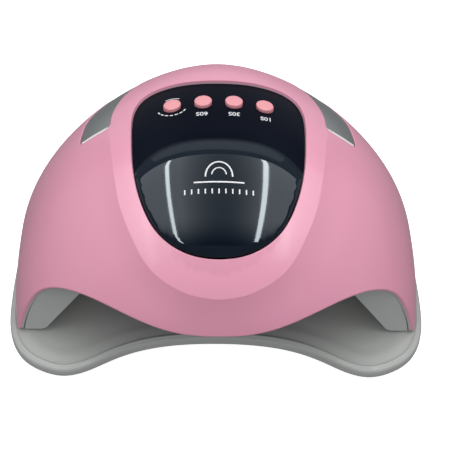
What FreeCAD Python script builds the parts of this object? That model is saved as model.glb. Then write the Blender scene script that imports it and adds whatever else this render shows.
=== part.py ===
import FreeCAD, Part
import math
import os

Vector = FreeCAD.Vector

# UV LED nail lamp: a domed shell over a hand tunnel, standing on a loose base plate.
# Millimetres. X to the right, -Y is the side the hand goes in, +Z up.
# The dome is drawn about its own plan centre, and every piece is shifted by to_row at the
# end, so that the object's box is centred on the origin and stands on Z = 0.

# Dome: superellipse sections, squarer at the foot than at the crown.
dome_foot = 8.0
dome_rise = 99.0
dome_half_width = 112.4
dome_front = 102.0
dome_rear = 104.7
side_power = 2.144
front_power = 2.282
rear_power = 2.725
front_squareness = 1.7
rear_squareness = 0.35
squareness_fade = 2.5
dome_top_level = 0.975
section_count = 11
section_points = 28
shell_wall = 2.5

# Mouth: the dome is cut by a side-view profile, upright at the sides and arched into a brow.
mouth_y = -59.5
mouth_arc = 20.0
mouth_top = 53.3
brow_arc = 24.4
brow_turn = 45.0
mouth_far = 70.0

# Hand tunnel: slanted sides, flat roof, flat rear wall with round corners.
tunnel_half_foot = 94.0
tunnel_slope = 0.73
tunnel_top = 51.0
tunnel_corner = 24.0
tunnel_foot_rise = 6.0
tunnel_foot_flare = 1.9
tunnel_foot_bulge = 0.9
tunnel_rear = 80.0
tunnel_rear_half = 36.0
tunnel_plan_corner = 60.0
liner_wall = 2.0
liner_gap = 0.4
liner_setback = 1.0
liner_floor = 3.0
liner_front = -72.0

# Control panel: a black cover in a tray on the crown.
panel_half_outline = [(0, 40.3), (25, 39.4), (39.5, 33), (45.9, 20), (46.8, 0), (44.6, -28),
                      (39.7, -48.5), (30, -65), (16, -73.8)]
panel_tip = (0, -76.4)
panel_recess = 2.0
panel_recess_tip = 0.5
panel_wall = 2.0
cover_gap = 0.3
ledge_width = 2.5
ledge_wall = 1.5
curb_inner = 0.3
curb_outer = 1.8
curb_depth = 1.2
seat_gap = 0.05

# Side inserts: bright strips on the shoulders.
insert_outline = [(58.9, 17), (59.1, 12), (59.9, 10), (61.8, 9.1), (67, 8), (72, 7.1), (74.2, 7.1),
                  (75.2, 8.8), (76.6, 16), (75.6, 30), (70.2, 47), (61, 62.5), (48, 76), (42.5, 76.2),
                  (40.9, 72), (42, 63), (47.4, 51.5), (53, 40), (57.4, 27)]
insert_recess = 0.9
insert_wall = 1.0
insert_floor_wall = 1.6

# Buttons and the switches under them.
button_places = {"60s": (-8.4, 19.7), "30s": (8.4, 19.7), "10s": (25.2, 18.0), "low_heat": (-25.2, 18.0)}
button_radius = 4.8
button_hole = 5.05
button_height = 2.4
button_crown = 0.5
button_flange = 6.2
button_flange_wall = 1.0
button_flange_gap = 0.3
button_stem = 2.0
button_travel = 0.8
plunger_radius = 1.6
plunger_gap = 0.08
plunger_height = 2.4
plunger_rise = 1.0
switch_side = 6.2
switch_height = 3.6

# Circuit boards.
board_top = 92.0
board_wall = 1.6
board_half_x = 40.0
board_front = -34.0
board_rear = 40.0
board_screw_places = [(-34.5, -27), (34.5, -27), (-34.5, 32), (34.5, 32)]
boss_radius = 3.0
screw_shank = 1.25
screw_head = 2.6
screw_head_wall = 1.4
screw_bite = 4.0
screw_clear = 1.7
shell_screw_places = [(-105.4, -18), (105.4, -18), (-54.5, 88.6), (54.5, 88.6)]
shell_boss = 4.2
shell_boss_top = 30.0
sink_radius = 2.8
lead_radius = 1.1
display_size = (25.0, 13.0, 7.0)
display_front = -18.0
chip_size = (12.8, 7.5, 2.3)
chip_corner = (-30.0, 0.0)
capacitor_places = [(22, -12), (22, -1)]
capacitor_radius = 4.0
capacitor_height = 11.0
inductor_place = (24, 18)
inductor_radius = 6.0
inductor_waist = 4.5
inductor_height = 8.0
inductor_rim = 1.5

# LEDs and their boards on the liner.
led_radius = 3.5
led_hole = 4.2
led_reach = 3.0
led_crown = 1.0
board_gap = 0.05
side_middle_z = 25.0
side_board_y = -8.0
roof_board_y = 14.0
rear_board_z = 30.0
rivet_radius = 1.1
rivet_head = 2.0
rivet_inset = 3.2
sensor_place = (0, -47)
sensor_radius = 4.0
sensor_flange = 5.4
sensor_flange_wall = 3.0
sensor_stand = 0.8

# Base plate.
plate_half_outline = [(0, -63.4), (18, -64.2), (34.5, -66.9), (48, -71.4), (59, -77.2), (70, -83.7),
                      (82, -86.9), (94, -83.6), (104.5, -75.8), (110.6, -65.5), (113.8, -53), (115, -36)]
plate_rear = 110.0
plate_rear_start = -20.0
plate_half_width = 115.0
plate_rear_power = 2.4
plate_bottom = 0.8
plate_top = 7.4
plate_round = 2.4
magnet_places = [(-101.5, -42), (101.5, -42), (-88, 64), (88, 64)]
magnet_radius = 3.0
magnet_wall = 3.0
disc_wall = 1.5
foot_places = [(-88, -68), (88, -68), (-76, 62), (76, 62), (0, 92), (0, -50)]
foot_radius = 6.0
foot_depth = 1.2

# Power inlet at the rear.
jack_height = 24.0
jack_half_width = 6.5
jack_body_front = 90.0
jack_body_rear = 100.4
jack_nose = 4.2
jack_nose_rear = 104.9
jack_bore = 2.8
jack_bore_depth = 9.0
jack_pin_radius = 1.0

# Air slots in the rear wall.
vent_count = 9
vent_pitch = 7.0
vent_width = 2.4
vent_low = 46.0
vent_high = 62.0

# Derived
side_tilt = math.degrees(math.atan2(1, tunnel_slope))
side_normal = Vector(math.sin(math.radians(side_tilt)), 0, math.cos(math.radians(side_tilt)))
lens_sphere = (led_radius ** 2 + led_crown ** 2) / (2 * led_crown)
brow_reach = dome_front * (1 - ((46.1 - dome_foot) / dome_rise) ** front_power) ** (1 / front_power)
to_row = Vector(0, (brow_reach - plate_rear) / 2, 0)


def section_sizes(level, inset):
    """Half width, front reach, rear reach and the two squareness powers at a level from 0 to 1."""
    half = (dome_half_width - inset) * (1 - level ** side_power) ** (1 / side_power)
    front = (dome_front - inset) * (1 - level ** front_power) ** (1 / front_power)
    rear = (dome_rear - inset) * (1 - level ** rear_power) ** (1 / rear_power)
    fade = (1 - level) ** squareness_fade
    return half, front, rear, 2 + front_squareness * fade, 2 + rear_squareness * fade


def signed_power(value, power):
    return math.copysign(abs(value) ** power, value)


def section_wire(level, inset, height):
    half, front, rear, front_p, rear_p = section_sizes(level, inset)
    points = []
    for index in range(section_points):
        turn = 2 * math.pi * index / section_points
        power = rear_p if math.sin(turn) >= 0 else front_p
        reach = rear if math.sin(turn) >= 0 else front
        x = half * signed_power(math.cos(turn), 2 / power)
        y = reach * signed_power(math.sin(turn), 2 / power)
        points.append(Vector(x, y, height))
    return closed_spline(points)


def closed_spline(points):
    curve = Part.BSplineCurve()
    curve.interpolate(Points=points, PeriodicFlag=True)
    return Part.Wire([curve.toShape()])


def dome_solid(inset, foot=dome_foot):
    """The dome grown inwards by inset, up to its flat top inside the panel's opening."""
    wires = [section_wire(0, inset, foot)] if foot < dome_foot else []
    for index in range(section_count):
        level = math.sin(math.asin(dome_top_level) * index / (section_count - 1))
        wires.append(section_wire(level, inset, dome_foot + (dome_rise - inset) * level))
    return Part.makeLoft(wires, True)


def dome_height(x, y):
    """Height of the dome's outside above a plan point, by halving the interval."""
    low, high = 0.0, 1.0 - 1e-9
    for _ in range(40):
        level = (low + high) / 2
        half, front, rear, front_p, rear_p = section_sizes(level, 0)
        reach, power = (rear, rear_p) if y >= 0 else (front, front_p)
        inside = abs(x / half) ** power + abs(y / reach) ** power < 1
        low, high = (level, high) if inside else (low, level)
    return dome_foot + dome_rise * low


def skin_surface(x_span, y_span, drop):
    """A smooth face that follows the dome at drop(x, y) below it."""
    columns, rows = 13, 15
    grid = []
    for i in range(columns):
        x = x_span[0] + (x_span[1] - x_span[0]) * i / (columns - 1)
        ys = [y_span[0] + (y_span[1] - y_span[0]) * j / (rows - 1) for j in range(rows)]
        grid.append([Vector(x, y, dome_height(x, y) - drop(x, y)) for y in ys])
    surface = Part.BSplineSurface()
    surface.interpolate(grid)
    return surface.toShape()


def prism(wire, low, high):
    """An upright prism of a flat outline, between two heights."""
    face = Part.Face(wire)
    face.translate(Vector(0, 0, low - wire.BoundBox.ZMin))
    return face.extrude(Vector(0, 0, high - low))


def grown(wire, offset, count=72):
    """A closed outline moved outwards by offset, through evenly spaced points."""
    edge = wire.Edges[0]
    first, last = edge.ParameterRange
    values = [first + (last - first) * index / count for index in range(count)]
    spots = [edge.valueAt(value) for value in values]
    twice_area = sum(a.x * b.y - b.x * a.y for a, b in zip(spots, spots[1:] + spots[:1]))
    outward = offset if twice_area > 0 else -offset
    points = []
    for value, spot in zip(values, spots):
        along = edge.tangentAt(value)
        points.append(spot + Vector(along.y, -along.x, 0) * outward)
    return closed_spline(points)


def post(radius, place, low, high):
    return Part.makeCylinder(radius, high - low, Vector(place[0], place[1], low))


def group(shapes):
    return Part.makeCompound(shapes)


def mirrored(shape):
    return shape.mirror(Vector(0, 0, 0), Vector(1, 0, 0))


# Outlines

def panel_outline():
    right = [Vector(x, y, 0) for x, y in panel_half_outline[1:]]
    left = [Vector(-p.x, p.y, 0) for p in reversed(right)]
    return closed_spline([Vector(*panel_half_outline[0], 0)] + right + [Vector(*panel_tip, 0)] + left)


def insert_wire():
    return closed_spline([Vector(x, y, 0) for x, y in insert_outline])


def plate_outline():
    right = [Vector(x, y, 0) for x, y in plate_half_outline[1:]]
    reach = plate_rear - plate_rear_start
    for degrees in (0, 18, 36, 54, 72):
        turn = math.radians(degrees)
        x = plate_half_width * math.cos(turn) ** (2 / plate_rear_power)
        right.append(Vector(x, plate_rear_start + reach * math.sin(turn) ** (2 / plate_rear_power), 0))
    left = [Vector(-p.x, p.y, 0) for p in reversed(right)]
    return closed_spline([Vector(*plate_half_outline[0], 0)] + right + [Vector(0, plate_rear, 0)] + left)


def panel_drop(x, y):
    """Depth of the panel's face below the dome: full at the rear, almost flush at the front tip."""
    share = min(1.0, max(0.0, (y - panel_tip[1]) / (panel_half_outline[0][1] - panel_tip[1])))
    return panel_recess_tip + (panel_recess - panel_recess_tip) * math.sin(share * math.pi / 2)


# Mouth and tunnel

def mouth_block(grow=0.0):
    """What the mouth takes away, as a side profile extruded across. grow sets the cut further in."""
    centre_y = mouth_y - mouth_arc
    arc_low = mouth_top - mouth_arc
    brow_low = mouth_top - brow_arc
    turn = math.radians(brow_turn)
    start = Vector(0, mouth_y + grow, arc_low)
    top = Vector(0, centre_y, mouth_top + grow)
    brow = brow_arc + grow
    end = Vector(0, centre_y - brow * math.sin(turn), brow_low + brow * math.cos(turn))
    half = math.radians(45)
    first = Part.Arc(start, Vector(0, centre_y + (mouth_arc + grow) * math.cos(half),
                                   arc_low + (mouth_arc + grow) * math.sin(half)), top)
    second = Part.Arc(top, Vector(0, centre_y - brow * math.sin(turn / 2),
                                  brow_low + brow * math.cos(turn / 2)), end)
    out = end + Vector(0, -math.cos(turn), -math.sin(turn)) * mouth_far
    low_out = Vector(0, out.y, -40)
    low_in = Vector(0, start.y, -40)
    edges = [first.toShape(), second.toShape(), Part.makeLine(end, out), Part.makeLine(out, low_out),
             Part.makeLine(low_out, low_in), Part.makeLine(low_in, start)]
    face = Part.Face(Part.Wire(edges))
    face.translate(Vector(-150, 0, 0))
    return face.extrude(Vector(300, 0, 0))


def flared_foot():
    """The bit of the tunnel's space beyond its slanted side, where the liner's foot is rounded off."""
    slant = Vector(-tunnel_slope, 0, 1)
    into_tunnel = Vector(-1, 0, 0)
    corner = Vector(tunnel_half_foot, -160, dome_foot)
    high = corner + slant * tunnel_foot_rise
    inner = corner - slant * 2
    wide = corner + Vector(tunnel_foot_flare, 0, 0)
    below = Vector(wide.x, -160, inner.z)
    middle = (high + wide) / 2 + Vector(-tunnel_foot_bulge, 0, -tunnel_foot_bulge * tunnel_slope)
    corners = [wide, below, inner + into_tunnel, high + into_tunnel, high]
    edges = [Part.Arc(high, middle, wide).toShape()]
    edges += [Part.makeLine(a, b) for a, b in zip(corners, corners[1:])]
    return Part.Face(Part.Wire(edges)).extrude(Vector(0, 320, 0))


def tunnel_block(grow, low):
    """The tunnel's space, or with grow its outside: arch across, rounded rear in plan."""
    top = tunnel_top + grow
    foot = tunnel_half_foot + grow * math.hypot(1, tunnel_slope)
    half = [(foot - tunnel_slope * (low - dome_foot), low), (foot - tunnel_slope * (top - dome_foot), top)]
    corners = [Vector(half[0][0], -160, low), Vector(half[1][0], -160, top),
               Vector(-half[1][0], -160, top), Vector(-half[0][0], -160, low)]
    arch = Part.Face(Part.makePolygon(corners + corners[:1])).extrude(Vector(0, 320, 0))
    if grow == 0:
        arch = arch.fuse([flared_foot(), mirrored(flared_foot())]).removeSplitter()
    upper = [e for e in arch.Edges if e.BoundBox.ZMin > top - 1 and e.BoundBox.YLength > 200]
    arch = arch.makeFillet(tunnel_corner + grow, upper)
    radius = tunnel_plan_corner + grow
    side = tunnel_rear_half + tunnel_plan_corner + grow
    rear = tunnel_rear + grow
    bend = radius * (1 - math.cos(math.radians(45)))
    edges = [Part.makeLine(Vector(side, -160, low), Vector(side, rear - radius, low)),
             Part.Arc(Vector(side, rear - radius, low), Vector(side - bend, rear - bend, low),
                      Vector(side - radius, rear, low)).toShape(),
             Part.makeLine(Vector(side - radius, rear, low), Vector(radius - side, rear, low)),
             Part.Arc(Vector(radius - side, rear, low), Vector(bend - side, rear - bend, low),
                      Vector(-side, rear - radius, low)).toShape(),
             Part.makeLine(Vector(-side, rear - radius, low), Vector(-side, -160, low)),
             Part.makeLine(Vector(-side, -160, low), Vector(side, -160, low))]
    plan = Part.Face(Part.Wire(edges)).extrude(Vector(0, 0, top - low + 1))
    return arch.common(plan)


# Lamp housing

def ring(outline, outside, inside):
    return prism(grown(outline, outside), 0, 130).cut(prism(grown(outline, inside), 0, 130))


def skin_slab(drop, depth, wall):
    """A slab under the panel's part of the dome, its top at drop(x, y) + depth."""
    face = skin_surface((-50, 50), (-80, 44), lambda x, y: drop(x, y) + depth)
    return face.extrude(Vector(0, 0, -wall))


def panel_tray(outline):
    """Curb and ledge that carry the panel's cover, sunk into the crown."""
    floor = panel_wall + seat_gap
    curb_wall = panel_recess + floor + ledge_wall - curb_depth
    curb = skin_slab(lambda x, y: curb_depth, 0, curb_wall).common(ring(outline, curb_outer, curb_inner))
    ledge = skin_slab(panel_drop, floor, ledge_wall).common(ring(outline, curb_outer - 0.2, -ledge_width))
    return curb.fuse(ledge)


def insert_floor(outline):
    """The floor that carries a side insert."""
    depth = insert_recess + insert_wall + seat_gap
    slab = dome_solid(depth).cut(dome_solid(depth + insert_floor_wall))
    return slab.common(prism(grown(outline, curb_outer), 20, 130))


def outer_shell():
    shell = dome_solid(0).cut(dome_solid(shell_wall, dome_foot - 3)).cut(mouth_block())
    panel = panel_outline()
    insert = insert_wire()
    shell = shell.cut(prism(panel, 60, 130)).fuse(panel_tray(panel))
    hole = prism(insert, 20, 130)
    rim = insert_floor(insert)
    return shell.cut([hole, mirrored(hole)]).fuse([rim, mirrored(rim)])


def panel_cover():
    panel = panel_outline()
    cover = skin_slab(panel_drop, 0, panel_wall).common(prism(grown(panel, -cover_gap), 60, 130))
    under = skin_slab(panel_drop, 0.5, 30)
    for place in board_screw_places:
        boss = post(boss_radius, place, board_top, 130).common(under)
        cover = cover.fuse(boss.cut(post(screw_shank, place, 60, board_top + screw_bite)))
    for place in button_places.values():
        cover = cover.cut(post(button_hole, place, 60, 130))
    return cover


def side_insert():
    slab = dome_solid(insert_recess).cut(dome_solid(insert_recess + insert_wall))
    return slab.common(prism(grown(insert_wire(), -cover_gap), 20, 130))


def liner():
    """Grey inner shell: front flange, tunnel walls and roof, rear wall and foot flange."""
    gap = shell_wall + liner_gap
    inside = dome_solid(gap)
    flange = inside.cut(mouth_block(liner_setback)).common(mouth_block(liner_setback + liner_wall))
    behind = tunnel_block(liner_wall, dome_foot).cut(mouth_block(liner_setback))
    behind = behind.common(Part.makeBox(300, 300, 300, Vector(-150, liner_front, 0)))
    foot = inside.common(Part.makeBox(300, 300, liner_floor, Vector(-150, -150, dome_foot)))
    foot = foot.cut(mouth_block(liner_setback))
    body = flange.fuse([behind, foot]).cut(tunnel_block(0, -10))
    for spot, turn in all_leds():
        body = body.cut(tilted(post(led_hole, (0, 0), -4, 4), spot, turn))
    for middle, turn, size, _ in board_frames().values():
        for place in rivet_places(size):
            body = body.cut(tilted(post(rivet_radius, place, -4, 4), middle, turn))
    for place in shell_screw_places:
        body = body.cut(post(screw_clear, place, 0, 20))
        body = body.cut(post(sink_radius, place, 0, dome_foot + screw_head_wall + 0.1))
    for place in magnet_places:
        body = body.cut(post(magnet_radius + 0.05, place, dome_foot - 1, dome_foot + disc_wall))
    body = body.cut(post(sensor_radius + 0.1, sensor_place, 40, 70))
    return body


def tilted(shape, spot, turn):
    """Turn a shape drawn at the origin, +Z into the lamp, and move it to a spot on the liner."""
    axis, degrees = turn
    shape = shape.copy()
    shape.rotate(Vector(0, 0, 0), axis, degrees)
    shape.translate(spot)
    return shape


# LED boards. Each board's places are drawn flat, and tilted onto its own wall of the liner.

def board_frames():
    """Middle of each board on the liner's outside, its turn, size and LED places."""
    side_x = tunnel_half_foot - tunnel_slope * (side_middle_z - dome_foot)
    right = Vector(side_x, side_board_y, side_middle_z) + side_normal * liner_wall
    left = Vector(-right.x, right.y, right.z)
    grid = [(x, y) for x in (-36, -12, 12, 36) for y in (-42, -14, 14, 42)]
    zigzag = [(6 if index % 2 else -6, -36 + 12 * index) for index in range(7)]
    rear = [(x, y) for x in (-22, 0, 22) for y in (-7, 7)]
    y_axis, x_axis = Vector(0, 1, 0), Vector(1, 0, 0)
    return {
        "roof": (Vector(0, roof_board_y, tunnel_top + liner_wall), (y_axis, 0), (88, 104), grid),
        "right": (right, (y_axis, side_tilt), (20, 92), zigzag),
        "left": (left, (y_axis, -side_tilt), (20, 92), [(-x, y) for x, y in zigzag]),
        "rear": (Vector(0, tunnel_rear + liner_wall, rear_board_z), (x_axis, -90), (66, 24), rear),
    }


def all_leds():
    spots = []
    for middle, turn, _, places in board_frames().values():
        for x, y in places:
            offset = FreeCAD.Rotation(turn[0], turn[1]).multVec(Vector(x, y, 0))
            spots.append((middle + offset, turn))
    return spots


def led_board(name):
    middle, turn, size, _ = board_frames()[name]
    plate = Part.makeBox(size[0], size[1], board_wall, Vector(-size[0] / 2, -size[1] / 2, board_gap))
    for place in rivet_places(size):
        plate = plate.cut(post(rivet_radius, place, -1, 4))
    return tilted(plate, middle, turn)


def rivet_places(size):
    x, y = size[0] / 2 - rivet_inset, size[1] / 2 - rivet_inset
    return [(-x, -y), (x, y)]


def led_beads(name):
    """Lensed beads on one board, reaching through the liner's holes."""
    middle, turn, _, places = board_frames()[name]
    beads = []
    for x, y in places:
        body = Part.makeCylinder(led_radius, led_reach - led_crown, Vector(x, y, led_crown - led_reach))
        lens = Part.makeSphere(lens_sphere, Vector(x, y, lens_sphere - led_reach))
        lens = lens.common(Part.makeCylinder(led_radius, led_crown, Vector(x, y, -led_reach)))
        beads.append(tilted(body.fuse(lens).removeSplitter(), middle, turn))
    return group(beads)


def led_board_screws():
    screws = []
    for middle, turn, size, _ in board_frames().values():
        for place in rivet_places(size):
            head = post(rivet_head, place, board_wall + board_gap, board_wall + board_gap + 1)
            shank = post(rivet_radius - 0.05, place, -liner_wall + 0.4, board_wall + board_gap)
            screws.append(tilted(head.fuse(shank), middle, turn))
    return group(screws)


# Fasteners and bosses

def shell_bosses():
    """Posts on the shell's inside that the foot screws bite into, trimmed to the wall."""
    low = dome_foot + liner_floor + seat_gap
    posts = [post(shell_boss, place, low, shell_boss_top) for place in shell_screw_places]
    inside = dome_solid(1.0, dome_foot - 3)
    return [p.common(inside) for p in posts]


def shell_screws():
    screws = []
    for place in shell_screw_places:
        head = post(screw_head, place, dome_foot + 0.1, dome_foot + 0.1 + screw_head_wall)
        screws.append(head.fuse(post(screw_shank, place, dome_foot + 0.1, shell_boss_top - 6)))
    return group(screws)


def board_screws():
    under = board_top - board_wall
    screws = []
    for place in board_screw_places:
        head = post(screw_head, place, under - screw_head_wall, under)
        screws.append(head.fuse(post(screw_shank, place, under, board_top + screw_bite)))
    return group(screws)


# Buttons and electronics

def button_cap(place):
    """Round cap with a crowned top that follows the dome, a flange under the panel and a stem."""
    x, y = place
    face = dome_height(x, y) - panel_drop(x, y)
    rim = [(x + dx, y + dy) for dx in (-6, 6) for dy in (-6, 6)]
    under = min(dome_height(*spot) - panel_drop(*spot) for spot in rim)
    flange_top = under - panel_wall - button_flange_gap
    step = 0.5
    lean_x = math.degrees(math.atan((dome_height(x - step, y) - dome_height(x + step, y)) / (2 * step)))
    lean_y = math.degrees(math.atan((dome_height(x, y + step) - dome_height(x, y - step)) / (2 * step)))
    head = post(button_radius, place, flange_top, face + 10)
    top_sphere = (button_radius ** 2 + button_crown ** 2) / (2 * button_crown)
    ball = Part.makeSphere(top_sphere, Vector(0, 0, -top_sphere))
    ball.rotate(Vector(0, 0, 0), Vector(0, 1, 0), lean_x)
    ball.rotate(Vector(0, 0, 0), Vector(1, 0, 0), lean_y)
    ball.translate(Vector(x, y, face + button_height + button_crown * 0.5))
    head = head.common(ball)
    flange = post(button_flange, place, flange_top - button_flange_wall, flange_top)
    stem = post(button_stem, place, plunger_top(), flange_top)
    return head.fuse([flange, stem]).removeSplitter()


def plunger_top():
    return board_top + switch_height + plunger_rise


def switch_plunger(place):
    return post(plunger_radius, place, plunger_top() - plunger_height, plunger_top())


def tact_switches():
    half = switch_side / 2
    cases = []
    for place in button_places.values():
        corner = Vector(place[0] - half, place[1] - half, board_top)
        case = Part.makeBox(switch_side, switch_side, switch_height, corner)
        well = plunger_top() - plunger_height - button_travel - 0.2
        cases.append(case.cut(post(plunger_radius + plunger_gap, place, well, 130)))
    return group(cases)


def main_board():
    size = (2 * board_half_x, board_rear - board_front)
    corner = Vector(-board_half_x, board_front, board_top - board_wall)
    board = Part.makeBox(size[0], size[1], board_wall, corner)
    uprights = [e for e in board.Edges if e.BoundBox.ZLength > board_wall / 2]
    board = board.makeFillet(4, uprights)
    for place in board_screw_places:
        board = board.cut(post(screw_shank + 0.1, place, 80, 100))
    return board


def timer_display():
    return Part.makeBox(*display_size, Vector(-display_size[0] / 2, display_front, board_top))


def control_chip():
    return Part.makeBox(*chip_size, Vector(*chip_corner, board_top - board_wall - chip_size[2]))


def capacitors():
    under = board_top - board_wall
    return group([post(capacitor_radius, place, under - capacitor_height, under)
                  for place in capacitor_places])


def inductor():
    under = board_top - board_wall
    drum = post(inductor_radius, inductor_place, under - inductor_height, under)
    low, high = under - inductor_height + inductor_rim, under - inductor_rim
    groove = post(inductor_radius + 1, inductor_place, low, high)
    return drum.cut(groove.cut(post(inductor_waist, inductor_place, low, high)))


def motion_sensor():
    """Hand sensor in the tunnel's roof, with a flange above the liner."""
    top = tunnel_top + liner_wall
    window = post(sensor_radius, sensor_place, tunnel_top - sensor_stand, top)
    return window.fuse(post(sensor_flange, sensor_place, top, top + sensor_flange_wall))


def dc_jack():
    body = Part.makeBox(2 * jack_half_width, jack_body_rear - jack_body_front, 2 * jack_half_width - 2,
                        Vector(-jack_half_width, jack_body_front, jack_height - jack_half_width + 1))
    back = Vector(0, 1, 0)
    nose_start = Vector(0, jack_body_rear - 1, jack_height)
    nose = Part.makeCylinder(jack_nose, jack_nose_rear - nose_start.y, nose_start, back)
    bore_start = Vector(0, jack_nose_rear - jack_bore_depth, jack_height)
    return body.fuse(nose).cut(Part.makeCylinder(jack_bore, jack_bore_depth, bore_start, back))


def dc_jack_pin():
    start = Vector(0, jack_nose_rear - jack_bore_depth, jack_height)
    return Part.makeCylinder(jack_pin_radius, jack_bore_depth - 1, start, Vector(0, 1, 0))


def lead(points, radius):
    """A round lead along straight runs with a tangent arc at each corner."""
    points = [Vector(*p) for p in points]
    edges, start = [], points[0]
    for before, corner, after in zip(points, points[1:], points[2:]):
        into, out = (before - corner), (after - corner)
        reach = 0.45 * min(into.Length, out.Length)
        into.normalize()
        out.normalize()
        bisector = (into + out).normalize()
        half = into.getAngle(out) / 2
        bend = reach * math.tan(half)
        first, last = corner + into * reach, corner + out * reach
        middle = corner + bisector * (bend / math.sin(half) - bend)
        edges += [Part.makeLine(start, first), Part.Arc(first, middle, last).toShape()]
        start = last
    edges.append(Part.makeLine(start, points[-1]))
    section = Part.Wire(Part.makeCircle(radius, points[0], points[1] - points[0]))
    tube = Part.Wire(edges).makePipeShell([section], True, True)
    length = sum(edge.Length for edge in edges)
    print("lead: length %.1f, volume %.1f of %.1f" % (length, tube.Volume, math.pi * radius ** 2 * length))
    return tube


def leads():
    """Leads from the main board to the inlet and to each LED board."""
    under = board_top - board_wall
    drop = under - 12
    outside = board_gap + board_wall
    roof = tunnel_top + liner_wall + outside
    side = board_frames()["right"][0] + side_normal * outside
    away = side + side_normal * 9
    right = [(34, 6, under), (34, 6, under - 9), (52, 2, 68), (80, -6, 50), tuple(away), tuple(side)]
    rear = tunnel_rear + liner_wall + outside
    inlet = jack_height + jack_half_width - 1
    return {
        "dc_lead": [(4, 36, under), (4, 36, drop), (6, 62, 68), (3, 88, 58), (0, 95, inlet + 13),
                    (0, 95, inlet)],
        "roof_lead": [(-6, -12, under), (-6, -12, drop), (-14, -4, roof + 12), (-14, -4, roof)],
        "right_lead": right,
        "left_lead": [(-x, y, z) for x, y, z in right],
        "rear_lead": [(-14, 36, under), (-14, 36, drop), (-16, 62, 69), (-17, 84, 60),
                      (-18, rear + 5.5, 47), (-18, rear + 5.5, 35), (-18, rear, 35)],
    }


# Base

def base_plate():
    plate = prism(plate_outline(), plate_bottom, plate_top)
    rims = [e for e in plate.Edges if e.BoundBox.ZLength < 0.01 and e.BoundBox.ZMax > plate_top - 0.01]
    plate = plate.makeFillet(plate_round, rims)
    for place in magnet_places:
        plate = plate.cut(post(magnet_radius + 0.05, place, dome_foot - magnet_wall, 20))
    for place in foot_places:
        plate = plate.cut(post(foot_radius + 0.1, place, -1, plate_bottom + foot_depth))
    return plate


def base_magnets():
    low = dome_foot - magnet_wall
    return group([post(magnet_radius, place, low, dome_foot) for place in magnet_places])


def lamp_discs():
    return group([post(magnet_radius, place, dome_foot, dome_foot + disc_wall) for place in magnet_places])


def rubber_feet():
    return group([post(foot_radius, place, 0, plate_bottom + foot_depth) for place in foot_places])


def build_nodes():
    shell = outer_shell().fuse(shell_bosses())
    for place in shell_screw_places:
        shell = shell.cut(post(screw_shank, place, 0, shell_boss_top - 5))
    shell = shell.cut(Part.makeCylinder(jack_nose + 0.15, 20, Vector(0, 95, jack_height), Vector(0, 1, 0)))
    for slot in vent_slots():
        shell = shell.cut(slot)
    insert = side_insert()
    nodes = {"outer_shell": shell, "liner": liner(), "panel_cover": panel_cover(),
             "side_insert_right": insert, "side_insert_left": mirrored(insert)}
    for name in board_frames():
        nodes["led_board_" + name] = led_board(name)
        nodes["led_beads_" + name] = led_beads(name)
    for name, place in button_places.items():
        nodes["button_cap_" + name] = button_cap(place)
        nodes["switch_plunger_" + name] = switch_plunger(place)
    for name, points in leads().items():
        nodes[name] = lead(points, lead_radius)
    for make in (led_board_screws, shell_screws, board_screws, tact_switches, main_board, timer_display,
                 control_chip, capacitors, inductor, motion_sensor, dc_jack, dc_jack_pin, base_plate,
                 base_magnets, lamp_discs, rubber_feet):
        nodes[make.__name__] = make()
    return nodes


def vent_slots():
    """Upright slots through the rear wall above the power inlet."""
    slots = []
    for index in range(vent_count):
        x = (index - (vent_count - 1) / 2) * vent_pitch
        bar = Part.makeBox(vent_width, 40, vent_high - vent_low, Vector(x - vent_width / 2, 85, vent_low))
        ends = [Part.makeCylinder(vent_width / 2, 40, Vector(x, 85, z), Vector(0, 1, 0))
                for z in (vent_low, vent_high)]
        slots.append(bar.fuse(ends).removeSplitter())
    return slots


if __name__ == "__main__":
    os.makedirs("parts", exist_ok=True)
    for name, shape in build_nodes().items():
        shape.translate(to_row)
        shape.exportStep("parts/%s.step" % name)
        state = "ok" if shape.isValid() else "INVALID"
        print("%-24s %s solids %d volume %.0f" % (name, state, len(shape.Solids), shape.Volume))
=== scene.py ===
import math

import bpy
import numpy as np
from mathutils import Matrix, Vector
from mathutils.geometry import delaunay_2d_cdt


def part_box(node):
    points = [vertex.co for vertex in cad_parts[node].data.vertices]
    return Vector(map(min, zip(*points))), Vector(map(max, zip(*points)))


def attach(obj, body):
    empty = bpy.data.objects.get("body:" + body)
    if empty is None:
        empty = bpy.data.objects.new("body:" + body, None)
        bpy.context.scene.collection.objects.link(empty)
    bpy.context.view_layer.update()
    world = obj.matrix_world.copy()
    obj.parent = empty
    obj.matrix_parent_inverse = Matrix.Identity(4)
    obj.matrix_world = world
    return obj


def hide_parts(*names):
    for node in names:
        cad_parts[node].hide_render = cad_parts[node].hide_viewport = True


# UV LED nail lamp. Shapes are worked out in millimetres about the dome's plan centre, and
# placed in the frame, in metres, when each mesh is made.

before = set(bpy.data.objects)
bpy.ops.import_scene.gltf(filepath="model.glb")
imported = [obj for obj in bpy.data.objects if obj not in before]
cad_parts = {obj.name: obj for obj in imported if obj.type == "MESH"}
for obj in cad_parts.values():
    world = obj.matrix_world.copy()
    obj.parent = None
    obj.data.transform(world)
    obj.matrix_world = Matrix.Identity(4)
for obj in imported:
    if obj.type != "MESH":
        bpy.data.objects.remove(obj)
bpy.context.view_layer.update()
MM = 0.001

# The dome: superellipse sections that grow squarer towards the foot.
FOOT, RISE = 8.0, 99.0
HALF_WIDTH, FRONT, REAR = 112.8, 102.0, 104.7
SIDE_POWER, FRONT_POWER, REAR_POWER = 2.04, 2.282, 2.725
FRONT_SQUARE, REAR_UPPER, REAR_FOOT, SQUARE_FADE = 1.7, 1.88, 2.35, 2.5
WALL = 2.85
DOME_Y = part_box("outer_shell")[1].y / MM - REAR
PLANE = 160.0          # arc from crown to foot, the scale of the flat domain that skins are cut in

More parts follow.
